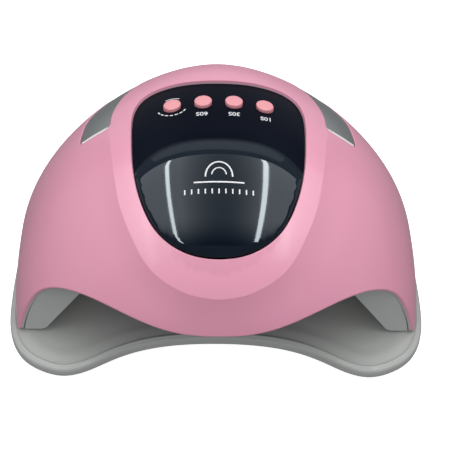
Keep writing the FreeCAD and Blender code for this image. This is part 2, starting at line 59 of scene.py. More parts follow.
# The mouth's side-view profile.
MOUTH_Y, MOUTH_ARC, MOUTH_TOP, BROW_ARC, BROW_TURN = -59.5, 20.0, 52.8, 21.5, 60
BROW_RUN = 12.0        # the straight run that carries the brow's arc past the dome

# Outlines in plan.
PANEL_HALF = [(0, 40.3), (25.1, 40.6), (39.7, 35.3), (46.1, 22.1), (46.9, 1.4), (44.7, -27.1), (39.7, -48),
              (30, -64.8), (16, -73.8), (0, -76.4)]
INSERT = [(59.2, 19.9), (59.4, 14.5), (60.2, 12.5), (62.1, 11.6), (67.4, 10.8), (72.4, 10.2),
          (74.7, 10.3), (75.7, 12.3), (75.6, 21), (74.4, 33), (69.5, 49), (60.5, 64), (48, 77),
          (42.9, 77), (41.2, 73),
          (43.2, 66), (48.6, 56.5), (53.6, 45.5), (57.8, 30.8)]
CREASE_HALF = [(59.7, 13), (56, -13.5), (53.3, -32), (50.3, -46.3), (46.1, -57.5), (38.5, -72.3),
               (32, -78.9), (24.3, -83.5), (14.2, -87.3), (0, -88.9)]
PLATE_HALF = [(0, -63.4), (18, -64.2), (34.5, -66.9), (48, -71.4), (59, -77.2), (70, -83.7), (82, -86.9),
              (94, -83.6), (104.5, -75.8), (110.6, -65.5), (113.8, -53), (115, -36)]
PLATE_REAR, PLATE_REAR_START, PLATE_HALF_WIDTH, PLATE_POWER = 109.95, -20.0, 115.0, 2.4


# Curves

def smooth_loop(points, step):
    """A closed cubic spline through points, as points about step apart."""
    spots = np.array(points, float)
    count = len(spots)
    gaps = np.linalg.norm(np.roll(spots, -1, 0) - spots, axis=1)
    system = np.zeros((count, count))
    right = np.zeros((count, 2))
    for i in range(count):
        before, after = gaps[i - 1], gaps[i]
        system[i, i - 1], system[i, i], system[i, (i + 1) % count] = after, 2 * (before + after), before
        rise_in = (spots[i] - spots[i - 1]) / before
        rise_out = (spots[(i + 1) % count] - spots[i]) / after
        right[i] = 3 * (after * rise_in + before * rise_out)
    slopes = np.linalg.solve(system, right)
    line = []
    for i in range(count):
        j = (i + 1) % count
        t = np.linspace(0, 1, 24, endpoint=False)[:, None]
        h = gaps[i]
        line.append((2 * t**3 - 3 * t**2 + 1) * spots[i] + (t**3 - 2 * t**2 + t) * h * slopes[i]
                    + (3 * t**2 - 2 * t**3) * spots[j] + (t**3 - t**2) * h * slopes[j])
    return resample(np.concatenate(line), step, True)


def resample(line, step, closed):
    """The same polyline with points evenly spaced, about step apart."""
    path = np.concatenate([line, line[:1]]) if closed else np.asarray(line, float)
    run = np.concatenate([[0], np.cumsum(np.linalg.norm(np.diff(path, axis=0), axis=1))])
    count = max(3, int(round(run[-1] / step)))
    spots = np.linspace(0, run[-1], count + 1)
    spots = spots[:-1] if closed else spots
    return np.stack([np.interp(spots, run, path[:, k]) for k in range(path.shape[1])], 1)


def mirror_half(half):
    """A closed outline from its half with X >= 0 that starts and ends on the middle line."""
    inner = half[1:-1] if half[-1][0] == 0 else half[1:]
    return list(half) + [(-x, y) for x, y in reversed(inner)]


def plate_points():
    """The base plate's outline: lobed at the front, a superellipse at the rear."""
    half = list(PLATE_HALF)
    reach = PLATE_REAR - PLATE_REAR_START
    for degrees in (0, 18, 36, 54, 72):
        turn = math.radians(degrees)
        half.append((PLATE_HALF_WIDTH * math.cos(turn) ** (2 / PLATE_POWER),
                     PLATE_REAR_START + reach * math.sin(turn) ** (2 / PLATE_POWER)))
    return mirror_half(half + [(0, PLATE_REAR)])


def signed_area(loop):
    after = np.roll(loop, -1, 0)
    return 0.5 * np.sum(loop[:, 0] * after[:, 1] - after[:, 0] * loop[:, 1])


def oriented(loop, anticlockwise=True):
    return loop if (signed_area(loop) > 0) == anticlockwise else loop[::-1]


def grow(loop, amount):
    """Moves a closed outline outwards by amount."""
    along = np.roll(loop, -1, 0) - np.roll(loop, 1, 0)
    along /= np.linalg.norm(along, axis=1)[:, None]
    side = np.stack([along[:, 1], -along[:, 0]], 1) * (1 if signed_area(loop) > 0 else -1)
    return loop + side * amount


def inside(points, loop):
    """Which points lie inside a closed polygon."""
    result = np.zeros(len(points), bool)
    x, y = points[:, 0], points[:, 1]
    for (ax, ay), (bx, by) in zip(loop, np.roll(loop, -1, 0)):
        if ay != by:
            crosses = (ay > y) != (by > y)
            result ^= crosses & (x < (bx - ax) * (y - ay) / (by - ay) + ax)
    return result


def distance(points, line, closed=False):
    """Shortest distance from each point to a polyline, in the plane or in space."""
    starts = np.asarray(line)
    ends = np.roll(starts, -1, 0)
    if not closed:
        starts, ends = starts[:-1], ends[:-1]
    best = np.full(len(points), np.inf)
    for a, b in zip(starts, ends):
        run = b - a
        share = np.clip(((points - a) @ run) / max(run @ run, 1e-12), 0, 1)
        best = np.minimum(best, np.linalg.norm(points - a - share[:, None] * run, axis=1))
    return best


def ease(value, low, high):
    share = np.clip((value - low) / (high - low), 0, 1)
    return share * share * (3 - 2 * share)


# The dome as a function of direction and level

def dome(turn, level):
    """Points of the dome at plan direction turn and level (0 at the foot, 1 at the crown)."""
    size = np.clip(np.abs(level), 0, 1 - 1e-9)
    half = HALF_WIDTH * (1 - size**SIDE_POWER) ** (1 / SIDE_POWER)
    front = FRONT * (1 - size**FRONT_POWER) ** (1 / FRONT_POWER)
    rear = REAR * (1 - size**REAR_POWER) ** (1 / REAR_POWER)
    fade = (1 - np.clip(level, 0, 1)) ** SQUARE_FADE
    behind = np.sin(turn) >= 0
    power = np.where(behind, REAR_UPPER + (REAR_FOOT - REAR_UPPER) * fade, 2 + FRONT_SQUARE * fade)
    reach = np.where(behind, rear, front)
    radius = (np.abs(np.cos(turn) / half)**power + np.abs(np.sin(turn) / reach)**power) ** (-1 / power)
    return np.stack([radius * np.cos(turn), radius * np.sin(turn), FOOT + RISE * level], -1)


def level_at(x, y):
    """Level of the dome above plan points, by halving."""
    turn, radius = np.arctan2(y, x), np.hypot(x, y)
    low, high = np.zeros(len(x)), np.full(len(x), 1 - 1e-7)
    for _ in range(36):
        level = (low + high) / 2
        spot = dome(turn, level)
        within = np.hypot(spot[:, 0], spot[:, 1]) > radius
        low, high = np.where(within, level, low), np.where(within, high, level)
    return (low + high) / 2


def to_plane(points):
    """Flat domain coordinates of points on the dome."""
    level = np.clip((points[:, 2] - FOOT) / RISE, -1, 1)
    reach = PLANE * (1 - np.arcsin(level) * 2 / math.pi)
    turn = np.arctan2(points[:, 1], points[:, 0])
    return np.stack([reach * np.cos(turn), reach * np.sin(turn)], 1)


def from_plane(flat):
    level = np.sin((1 - np.hypot(flat[:, 0], flat[:, 1]) / PLANE) * math.pi / 2)
    return dome(np.arctan2(flat[:, 1], flat[:, 0]), level)


def plan_to_plane(outline):
    """A plan outline laid on the dome, in the flat domain."""
    x, y = outline[:, 0], outline[:, 1]
    return to_plane(np.stack([x, y, FOOT + RISE * level_at(x, y)], 1))


def normals_of(surface, flat, reach=0.05):
    """Unit normals of a surface of flat points, by central differences."""
    step_u, step_v = np.array([reach, 0]), np.array([0, reach])
    across = surface(flat + step_u) - surface(flat - step_u)
    along = surface(flat + step_v) - surface(flat - step_v)
    normal = np.cross(across, along)
    return normal / np.linalg.norm(normal, axis=1)[:, None]


# Skins: trimmed, thick surfaces with rounded lips

ROW_STEP, EDGE_CLEAR, GUIDE_CLEAR = 0.866, 0.6, 0.35      # shares of a mesh's spacing


def staggered(low, high, spacing):
    """Points spaced evenly over a box, with every other row shifted by half a space."""
    grid = []
    for k, y in enumerate(np.arange(low[1], high[1], spacing * ROW_STEP)):
        x = np.arange(low[0] + (k % 2) * spacing / 2, high[0], spacing)
        grid.append(np.stack([x, np.full(len(x), y)], 1))
    return np.concatenate(grid)


def cut_out(border, holes, guides, spacing):
    """Triangles of a flat region. Returns points, triangles and the index loops of its edges."""
    loops = [oriented(border)] + [oriented(hole, False) for hole in holes]
    grid = staggered(border.min(0), border.max(0), spacing)
    grid = grid[inside(grid, border) & (distance(grid, border, True) > spacing * EDGE_CLEAR)]
    for hole in holes:
        grid = grid[~inside(grid, hole) & (distance(grid, hole, True) > spacing * EDGE_CLEAR)]
    for guide in guides:
        grid = grid[distance(grid, guide) > spacing * GUIDE_CLEAR]
    points, edges, start = [], [], 0
    for line in loops + list(guides):
        count = len(line)
        last = count if any(line is loop for loop in loops) else count - 1
        edges += [(start + i, start + (i + 1) % count) for i in range(last)]
        points.append(line)
        start += count
    points = np.concatenate(points + [grid])
    flat, _, faces, origin, _, _ = delaunay_2d_cdt([Vector(p) for p in points], edges, [], 0, 1e-6)
    flat, faces = np.array([tuple(p) for p in flat]), np.array(faces)
    middle = flat[faces].mean(1)
    keep = inside(middle, border)
    for hole in holes:
        keep &= ~inside(middle, hole)
    faces = faces[keep]
    place = {source: index for index, sources in enumerate(origin) for source in sources}
    index_loops, start = [], 0
    for loop in loops:
        index_loops.append(np.array([place[start + i] for i in range(len(loop))]))
        start += len(loop)
    return flat, faces, index_loops


class Solid:
    """A mesh in the making: points, faces, and a normal at each face corner."""

    def __init__(self):
        self.points, self.faces, self.normals, self.count = [], [], [], 0
        self.lining = []

    def add_points(self, points):
        self.points.append(np.asarray(points, float))
        self.count += len(points)
        return np.arange(self.count - len(points), self.count)

    def add_faces(self, faces, normals):
        """faces index points; normals has one vector for each corner of each face."""
        self.faces += [tuple(int(i) for i in face) for face in faces]
        self.normals.append(np.asarray(normals, float).reshape(-1, 3))

    def strip(self, first, second, first_normals, second_normals):
        """Quads between two closed rows of indices. The solid's outside is where the normals point."""
        i = np.arange(len(first))
        j = np.roll(i, -1)
        faces = np.stack([first[j], first[i], second[i], second[j]], 1)
        normals = np.stack([first_normals[j], first_normals[i], second_normals[i], second_normals[j]], 1)
        self.add_faces(faces, normals)

    def piece(self, name, body, material, slot, *nodes):
        mesh = bpy.data.meshes.new(name)
        points = np.concatenate(self.points)
        points = (points + np.array([0, DOME_Y, 0])) * MM
        mesh.from_pydata(points.tolist(), [], self.faces)
        normals = np.concatenate(self.normals)
        normals /= np.maximum(np.linalg.norm(normals, axis=1)[:, None], 1e-9)
        mesh.normals_split_custom_set(normals.tolist())
        mesh.materials.append(material)
        piece = bpy.data.objects.new(name, mesh)
        bpy.context.scene.collection.objects.link(piece)
        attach(piece, body)
        if nodes:
            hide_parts(*nodes)
        return piece


def skin(surface, border, holes, guides, spacing, wall, lips, seam=None, steps=5):
    """A skin of even wall with rounded lips round its border and its holes: lips gives both radii.

    seam is a depth on the edge below which faces are listed in the solid's lining."""
    flat, faces, loops = cut_out(border, holes, guides, spacing)
    top = surface(flat)
    normal = normals_of(surface, flat)
    solid = Solid()
    outer = solid.add_points(top)
    inner = solid.add_points(top - normal * wall)
    solid.add_faces(outer[faces], normal[faces])
    solid.add_faces(inner[faces[:, ::-1]], -normal[faces[:, ::-1]])
    for loop, lip in zip(loops, [lips[0]] + [lips[1]] * len(holes)):
        spot, up = top[loop], normal[loop]
        along = np.roll(spot, -1, 0) - np.roll(spot, 1, 0)
        out = np.cross(along, up)
        out /= np.linalg.norm(out, axis=1)[:, None]
        row, facing = outer[loop], up
        for k in range(1, steps + 1):
            turn = math.pi / 2 * k / steps
            ring = solid.add_points(spot + out * lip * math.sin(turn) - up * lip * (1 - math.cos(turn)))
            turned = up * math.cos(turn) + out * math.sin(turn)
            solid.strip(row, ring, facing, turned)
            row, facing = ring, turned
        if seam:
            ring = solid.add_points(spot + out * lip - up * seam)
            solid.strip(row, ring, out, out)
            row = ring
        solid.lining += range(len(solid.faces), len(solid.faces) + len(loop))
        ring = solid.add_points(spot + out * lip - up * wall)
        solid.strip(row, ring, out, out)
        solid.strip(ring, inner[loop], -up, -up)
    return solid


# Materials

class Look:
    """A procedural material: a Principled shader fed by nodes that read the object's own coordinates."""

    def __init__(self, name):
        self.material = bpy.data.materials.new(name)
        self.material.use_nodes = True
        self.tree = self.material.node_tree
        self.tree.nodes.clear()
        self.shader = self.node("ShaderNodeBsdfPrincipled")
        output = self.node("ShaderNodeOutputMaterial")
        self.tree.links.new(self.shader.outputs[0], output.inputs["Surface"])
        self.place = self.node("ShaderNodeTexCoord").outputs["Object"]

    def node(self, kind, **values):
        node = self.tree.nodes.new(kind)
        for key, value in values.items():
            setattr(node, key, value)
        return node

    def feed(self, socket, value):
        if isinstance(value, bpy.types.NodeSocket):
            self.tree.links.new(value, socket)
        elif isinstance(value, tuple) and len(value) == 3 and socket.type == "RGBA":
            socket.default_value = value + (1.0,)
        else:
            socket.default_value = value

    def noise(self, scale, detail=2.0, stretch=(1, 1, 1)):
        spread = self.node("ShaderNodeVectorMath", operation="MULTIPLY")
        self.feed(spread.inputs[0], self.place)
        spread.inputs[1].default_value = stretch
        noise = self.node("ShaderNodeTexNoise")
        self.feed(noise.inputs["Vector"], spread.outputs[0])
        noise.inputs["Scale"].default_value = scale
        noise.inputs["Detail"].default_value = detail
        return noise.outputs[0]

    def math(self, operation, first, second=0.0):
        node = self.node("ShaderNodeMath", operation=operation)
        self.feed(node.inputs[0], first)
        self.feed(node.inputs[1], second)
        return node.outputs[0]

    def remap(self, value, low, high, start, end, smooth=False):
        node = self.node("ShaderNodeMapRange", interpolation_type="SMOOTHSTEP" if smooth else "LINEAR")
        for socket, item in zip(node.inputs, (value, low, high, start, end)):
            self.feed(socket, item)
        return node.outputs[0]

    def blend(self, share, first, second):
        node = self.node("ShaderNodeMix", data_type="RGBA")
        self.feed(node.inputs[0], share)
        self.feed(node.inputs[6], first)
        self.feed(node.inputs[7], second)
        return node.outputs[2]

    def axis(self, index):
        split = self.node("ShaderNodeSeparateXYZ")
        self.feed(split.inputs[0], self.place)
        return split.outputs[index]

    def bump(self, height, depth):
        bump = self.node("ShaderNodeBump")
        bump.inputs["Distance"].default_value = depth
        self.feed(bump.inputs["Height"], height)
        self.feed(self.shader.inputs["Normal"], bump.outputs[0])

    def set(self, **values):
        for key, value in values.items():
            self.feed(self.shader.inputs[key.replace("_", " ")], value)


def rgb(red, green, blue):
    """Linear colour of an sRGB triple of 0 to 255."""
    def line(value):
        share = value / 255
        return share / 12.92 if share <= 0.04045 else ((share + 0.055) / 1.055) ** 2.4
    return line(red), line(green), line(blue)


def plastic(name, colour, other, rough, metal=0.0, coat=0.0, cloud=18.0, grain=2200.0, depth=0.00001,
            stretch=(1, 1, 1)):
    """Moulded, painted or rolled stock: two close tones in soft clouds, uneven gloss and a fine grain."""
    look = Look(name)
    look.set(Base_Color=look.blend(look.remap(look.noise(cloud, 3.0), 0.2, 0.8, 0.0, 1.0), colour, other))
    haze = look.noise(cloud * 5, 4.0, stretch)
    look.set(Roughness=look.remap(haze, 0.0, 1.0, rough * 0.8, min(1.0, rough * 1.2)), Metallic=metal)
    look.set(Coat_Weight=coat, Coat_Roughness=0.16)
    look.bump(look.noise(grain, 2.0, stretch), depth)
    return look.material


def panel_look():
    """Black acrylic: satin above the fold, polished below it, where its dark tint is lightened towards the
    fold by a painted reflection.
    """
    look = Look("panel black acrylic")
    x = look.math("MULTIPLY", look.axis(0), 1000.0)
    y = look.math("SUBTRACT", look.math("MULTIPLY", look.axis(1), 1000.0), DOME_Y)
    square = look.math("MULTIPLY", x, x)
    quad = look.math("MULTIPLY", square, square)
    fall = look.math("ADD", look.math("MULTIPLY", square, FOLD[1]), look.math("MULTIPLY", quad, FOLD[2]))
    past = look.math("ADD", look.math("ADD", y, fall), -FOLD[0])
    polished = look.remap(past, -3.0, 1.5, 1.0, 0.0, True)
    dust = look.noise(900.0, 3.0)
    satin_rough = look.remap(dust, 0.3, 0.7, 0.3, 0.36)
    lens_rough = look.remap(look.noise(30.0, 3.0), 0.3, 0.7, 0.04, 0.06)
    rough = look.math("ADD", look.math("MULTIPLY", polished, lens_rough),
                      look.math("MULTIPLY", look.math("SUBTRACT", 1.0, polished), satin_rough))
    satin = look.blend(look.remap(look.noise(14.0), 0.35, 0.65, 0.0, 1.0), rgb(3, 7, 20), rgb(5, 10, 24))
    # painted reflection: below the fold the colour runs from the dark tint at the front to a lighter
    # grey-blue at the fold, standing in for the light the lens mirrors
    lens_tint_and_painted_reflection = look.blend(look.remap(past, -28.0, 0.0, 0.0, 1.0, True), rgb(5, 14, 26), rgb(18, 27, 38))
    look.set(Base_Color=look.blend(polished, satin, lens_tint_and_painted_reflection), Roughness=rough)
    look.set(Specular_IOR_Level=look.remap(polished, 0.0, 1.0, 0.05, 0.5))
    look.set(Specular_Tint=(0.84, 0.94, 1.0))
    look.bump(look.math("MULTIPLY", look.math("SUBTRACT", 1.0, polished), dust), 0.000012)
    return look.material


FOLD = (-12.0, 0.0017, 3.6e-6)      # the fold's Y on the middle line, and how it falls with X**2 and X**4
LOOKS = {
    "pink": plastic("shell pink gloss", rgb(215, 147, 170), rgb(213, 144, 168), 0.36, coat=0.3, cloud=9.0,
                    grain=900.0, depth=0.000003),
    "panel": panel_look(),
    "insert": plastic("insert brushed silver", rgb(166, 171, 172), rgb(154, 160, 162), 0.32, metal=0.85,
                      grain=1500.0, depth=0.000015, stretch=(1, 0.06, 1)),
    # the bevel is polished, and its near-white colour is a painted highlight that stands in for the light
    # the chamfer mirrors
    "polished_bevel_painted_highlight": plastic("insert polished bevel with painted highlight", rgb(238, 240, 240), rgb(230, 233, 234), 0.2, metal=0.35,
                           coat=0.8),
    "liner": plastic("liner satin grey", rgb(172, 175, 173), rgb(167, 170, 168), 0.5, grain=2600.0,
                     depth=0.00002),
    "base": plastic("base satin grey", rgb(172, 174, 172), rgb(166, 168, 166), 0.34, coat=0.3, grain=2400.0,
                    depth=0.000015),
    "button": plastic("button salmon", rgb(222, 150, 158), rgb(217, 144, 152), 0.36, coat=0.15, grain=3000.0,
                      depth=0.000008),
    "ink": plastic("white pad print", rgb(226, 226, 228), rgb(206, 208, 212), 0.5, grain=4000.0),
    "rubber": plastic("foot rubber", rgb(34, 34, 36), rgb(44, 44, 46), 0.8, grain=3500.0, depth=0.00004),
    "steel": plastic("nickel plate", rgb(186, 188, 190), rgb(166, 168, 172), 0.22, metal=1.0, grain=1800.0),
    "aluminium": plastic("white solder mask", rgb(226, 228, 226), rgb(214, 217, 214), 0.35, grain=2500.0),
    "led": plastic("led silicone lens", rgb(232, 220, 150), rgb(214, 196, 110), 0.16, coat=0.6, cloud=300.0),
    "screw": plastic("zinc screw", rgb(164, 164, 160), rgb(140, 140, 136), 0.34, metal=1.0, grain=2600.0,
                     depth=0.00002),
    "board": plastic("green solder mask", rgb(22, 84, 50), rgb(16, 68, 42), 0.3, coat=0.3, cloud=120.0),
    "black": plastic("black nylon", rgb(24, 24, 26), rgb(34, 34, 36), 0.55, grain=2600.0, depth=0.00002),
    "white": plastic("white acetal", rgb(230, 228, 222), rgb(218, 216, 210), 0.4, grain=2400.0),
    "display": plastic("tinted display", rgb(20, 8, 10), rgb(30, 12, 14), 0.12, coat=0.8, cloud=60.0),
    "chip": plastic("moulded epoxy", rgb(28, 28, 30), rgb(38, 38, 40), 0.6, grain=3500.0, depth=0.00003),
    "can": plastic("capacitor sleeve", rgb(30, 38, 66), rgb(24, 30, 54), 0.3, coat=0.3, cloud=90.0),
    "ferrite": plastic("ferrite", rgb(52, 50, 50), rgb(66, 64, 62), 0.7, grain=2200.0, depth=0.00005),
    "sensor": plastic("sensor window", rgb(44, 10, 22), rgb(60, 14, 30), 0.1, coat=0.8, cloud=40.0),
    "jack": plastic("jack black nylon", rgb(20, 20, 22), rgb(28, 28, 30), 0.45, grain=2600.0),
    "contact": plastic("gold flash contact", rgb(212, 176, 108), rgb(196, 160, 94), 0.24, metal=1.0),
    "lead": plastic("pvc lead", rgb(22, 22, 24), rgb(32, 32, 34), 0.42, grain=1500.0, depth=0.00002),
    "red_lead": plastic("red pvc lead", rgb(150, 22, 24), rgb(132, 18, 20), 0.42, grain=1500.0),
}
KEPT = {
    "liner": "liner", "rubber_feet": "rubber", "base_magnets": "steel", "lamp_discs": "steel",
    "led_board_screws": "screw", "shell_screws": "screw", "board_screws": "screw", "main_board": "board",
    "tact_switches": "black", "timer_display": "display", "control_chip": "chip", "capacitors": "can",
    "inductor": "ferrite", "motion_sensor": "sensor", "dc_jack": "jack", "dc_jack_pin": "contact",
    "dc_lead": "lead",
}
KEPT.update({f"led_board_{side}": "aluminium" for side in ("roof", "left", "right", "rear")})
KEPT.update({f"led_beads_{side}": "led" for side in ("roof", "left", "right", "rear")})
KEPT.update({f"{side}_lead": "red_lead" for side in ("roof", "left", "right", "rear")})
KEPT.update({f"switch_plunger_{name}": "white" for name in ("60s", "30s", "10s", "low_heat")})


# The shell

PITCH = 2.6            # spacing of mesh points on the shell
BORDER_STEP, VENT_STEP, FOOT_POINTS = 1.5, 0.9, 400
PROFILE_STEP = 0.02    # close enough to keep the brow's underside round
LIP = 0.9              # rounding of the mouth's edge and the foot
HOLE_LIP = 0.4         # rounding of the edges of its openings
EDGE = 1.7             # depth of pink at the edges, above the liner's grey
RIDGE, RIDGE_ROUND, RIDGE_OUT, RIDGE_IN = 1.9, 0.12, 15.0, 12.0      # height, tip radius, reach each way
CREASE_GUIDES = (-1.5, -0.3, 0.3, 1.5)         # mesh lines beside the crease
PANEL_EASE = 0.1       # the shell's hole is wider than the panel's outline by this
VENTS, VENT_PITCH, VENT_HALF, VENT_LOW, VENT_HIGH = 9, 7.0, 1.2, 46.0, 62.0
JACK_Z, JACK_HOLE = 24.0, 4.35


def rear_spot(x, z):
    """The point of the dome's rear at a given X and Z."""
    level = (z - FOOT) / RISE
    half = HALF_WIDTH * (1 - level**SIDE_POWER) ** (1 / SIDE_POWER)
    power = REAR_UPPER + (REAR_FOOT - REAR_UPPER) * (1 - level) ** SQUARE_FADE
    reach = REAR * (1 - level**REAR_POWER) ** (1 / REAR_POWER)
    return np.stack([x, reach * (1 - np.abs(x / half)**power) ** (1 / power), z], -1)


def mouth_profile(inset):
    """Side view (Y, Z) of the mouth's edge from the foot forwards, grown away from the mouth by inset."""
    arc, brow = MOUTH_ARC + inset, BROW_ARC + inset
    middle = MOUTH_Y - MOUTH_ARC
    heights = np.linspace(FOOT + inset, MOUTH_TOP - MOUTH_ARC, 12, endpoint=False)
    low = [(MOUTH_Y + inset, z) for z in heights]
    turn = np.radians(np.linspace(0, 90, 20, endpoint=False))
    rise = np.stack([middle + arc * np.cos(turn), MOUTH_TOP - MOUTH_ARC + arc * np.sin(turn)], 1)
    turn = np.radians(np.linspace(0, BROW_TURN, 24))
    fall = np.stack([middle - brow * np.sin(turn), MOUTH_TOP - BROW_ARC + brow * np.cos(turn)], 1)
    ahead = np.array([np.cos(turn[-1]), np.sin(turn[-1])])
    out = fall[-1] - np.linspace(0, BROW_RUN, 30)[1:, None] * ahead
    return np.concatenate([low, rise, fall, out])


def mouth_edge(inset):
    """The mouth's edge on the dome's right-hand side, from the foot to the middle line."""
    profile = resample(mouth_profile(inset), PROFILE_STEP, False)
    level = (profile[:, 1] - FOOT) / RISE
    front = FRONT * (1 - level**FRONT_POWER) ** (1 / FRONT_POWER)
    half = HALF_WIDTH * (1 - level**SIDE_POWER) ** (1 / SIDE_POWER)
    power = 2 + FRONT_SQUARE * (1 - level) ** SQUARE_FADE
    share = 1 - np.abs(profile[:, 0] / front) ** power
    beyond = np.argmax(share <= 0)
    x = half[:beyond] * share[:beyond] ** (1 / power[:beyond])
    edge = np.stack([x, profile[:beyond, 0], profile[:beyond, 1]], 1)
    tip = (profile[beyond - 1] + profile[beyond]) / 2
    return np.concatenate([edge, [[0, tip[0], tip[1]]]])


def shell_border(inset, spacing):
    """Closed outline of the shell in the flat domain."""
    right = to_plane(mouth_edge(inset))
    left = right * np.array([-1, 1])
    level = inset / RISE
    start = math.atan2(right[0, 1], right[0, 0])
    turns = np.linspace(start, math.pi - start, FOOT_POINTS)
    foot = to_plane(dome(turns, np.full(FOOT_POINTS, level)))
    return resample(np.concatenate([foot[1:-1], left[:-1], right[::-1]]), spacing, True)


def rear_hole(x, z, grown):
    """An outline seen from the rear, laid on the dome in the flat domain and grown by its lip."""
    return grow(to_plane(rear_spot(x, z)), grown)


def vent_hole(middle, grown):
    """An upright slot with round ends in the dome's rear, in the flat domain."""
    turn = np.radians(np.arange(0, 180, 22.5))
    x = middle + VENT_HALF * np.concatenate([np.cos(turn), np.cos(turn + math.pi)])
    z = np.concatenate([VENT_HIGH - VENT_HALF + VENT_HALF * np.sin(turn),
                        VENT_LOW + VENT_HALF - VENT_HALF * np.sin(turn)])
    return resample(rear_hole(x, z, grown), VENT_STEP, True)


PANEL = smooth_loop(mirror_half(PANEL_HALF), 1.4)
INSERTS = [smooth_loop(INSERT, 1.0), smooth_loop([(-x, y) for x, y in INSERT], 1.0)]
CREASE = resample(np.array(CREASE_HALF + [(-x, y) for x, y in CREASE_HALF[-2::-1]], float), 1.0, False)
CREASE_PASSES = 30     # smoothing passes that round the crease's corners


def crease_line():
    """The crease as a smooth line in the flat domain."""
    line = CREASE.copy()
    for _ in range(CREASE_PASSES):
        line[1:-1] = (line[:-2] + 2 * line[1:-1] + line[2:]) / 4
    return plan_to_plane(line)


CREASE_FLAT = resample(crease_line(), 1.2, False)
CREASE_SPOTS = from_plane(CREASE_FLAT)
BAND = np.concatenate([CREASE_FLAT, plan_to_plane(np.array([(-52.0, 45.0), (0.0, 60.0), (52.0, 45.0)]))])


CREASE_REAR, CREASE_LOW = 22.0, 20.0           # the crease is in front of this Y and over this Z
RIDGE_SHARES = ([-90, -47, -15, 9, 16], [1.0, 0.85, 0.6, 0.3, 0.0])      # its height's share at each Y
HEART = np.array([0, 0, 30.0])                 # the crease rises straight away from this point


def beside(line, amount):
    """An open line moved sideways by amount, two points short at each end."""
    along = np.gradient(line, axis=0)
    along /= np.linalg.norm(along, axis=1)[:, None]
    return line[2:-2] + np.stack([along[:, 1], -along[:, 0]], 1)[2:-2] * amount


def shell_surface(flat):
    """The dome with the band's raised crease."""
    spot = from_plane(flat)
    near = (spot[:, 1] < CREASE_REAR) & (spot[:, 2] > CREASE_LOW)
    height = np.zeros(len(flat))
    away = distance(spot[near], CREASE_SPOTS)
    away = np.sqrt(away**2 + RIDGE_ROUND**2) - RIDGE_ROUND
    within = inside(flat[near], BAND)
    outside = np.clip(1 - away / RIDGE_OUT, 0, 1) ** 2
    towards = np.clip(1 - away / RIDGE_IN, 0, 1)
    along = np.interp(spot[near][:, 1], *RIDGE_SHARES)
    height[near] = RIDGE * along * np.where(within, towards, outside)
    out = spot - HEART
    out /= np.linalg.norm(out, axis=1)[:, None]
    return spot + out * height[:, None]


def shell():
    """The dome with its mouth, its openings and the crease round the panel's band."""
    holes = [plan_to_plane(grow(PANEL, HOLE_LIP + PANEL_EASE))]
    holes += [plan_to_plane(grow(outline, HOLE_LIP)) for outline in INSERTS]
    holes += [vent_hole((k - (VENTS - 1) / 2) * VENT_PITCH, HOLE_LIP) for k in range(VENTS)]
    turn = np.radians(np.arange(0, 360, 12))
    holes.append(rear_hole(JACK_HOLE * np.cos(turn), JACK_Z + JACK_HOLE * np.sin(turn), HOLE_LIP))
    guides = [CREASE_FLAT] + [beside(CREASE_FLAT, amount) for amount in CREASE_GUIDES]
    border = shell_border(LIP, BORDER_STEP)
    solid = skin(shell_surface, border, holes, guides, PITCH, WALL, (LIP, HOLE_LIP), EDGE)
    piece = solid.piece("shell", "lamp", LOOKS["pink"], "shell_pink", "outer_shell")
    piece.data.materials.append(LOOKS["liner"])
    for index in solid.lining:
        piece.data.polygons[index].material_index = 1
    return piece


# The panel

THIN_LIP = 0.35        # rounding of the edges of the panel and the inserts
PANEL_DROP_TIP, PANEL_DROP_REAR, PANEL_WALL, PANEL_GAP = 0.5, 2.0, 1.9, 0.45
PANEL_TIP_Y, PANEL_TOP_Y, PANEL_STEP = -76.4, 40.3, 2.0
LENS_RISE, LENS_ROLL, LENS_EDGE, LENS_SHARE = 0.6, 13.0, 3.0, 0.7
FOLD_HALF, FOLD_STEP, FOLD_SHORT, FOLD_LEAD = 44.0, 1.6, 1.2, 1.0


def dome_height(plan):
    return FOOT + RISE * level_at(plan[:, 0], plan[:, 1])


def fold_at(x):
    """Y of the panel's fold at X."""
    return FOLD[0] - FOLD[1] * x**2 - FOLD[2] * x**4


def panel_surface(plan):
    """The panel's face: sunk towards the rear, with a crease at the fold and a crowned lens below it."""
    share = np.clip((plan[:, 1] - PANEL_TIP_Y) / (PANEL_TOP_Y - PANEL_TIP_Y), 0, 1)
    drop = PANEL_DROP_TIP + (PANEL_DROP_REAR - PANEL_DROP_TIP) * np.sin(share * math.pi / 2)
    past = fold_at(plan[:, 0]) - plan[:, 1]
    edge = distance(plan, PANEL, True) * inside(plan, PANEL)
    rise = LENS_RISE * ease(past, -FOLD_LEAD, LENS_ROLL) * ease(edge, 0.0, LENS_EDGE) ** LENS_SHARE
    return np.stack([plan[:, 0], plan[:, 1], dome_height(plan) - drop + rise], 1)


BUTTONS = {"60s": (-8.4, 19.7), "30s": (8.4, 19.7), "10s": (25.2, 18.8), "low_heat": (-25.2, 18.8)}
BUTTON_RADIUS, BUTTON_HOLE, BUTTON_HEIGHT = 4.8, 5.05, 2.4


def ring_at(place, radius, count=48):
    turn = np.arange(count) * 2 * math.pi / count
    return np.stack([place[0] + radius * np.cos(turn), place[1] + radius * np.sin(turn)], 1)


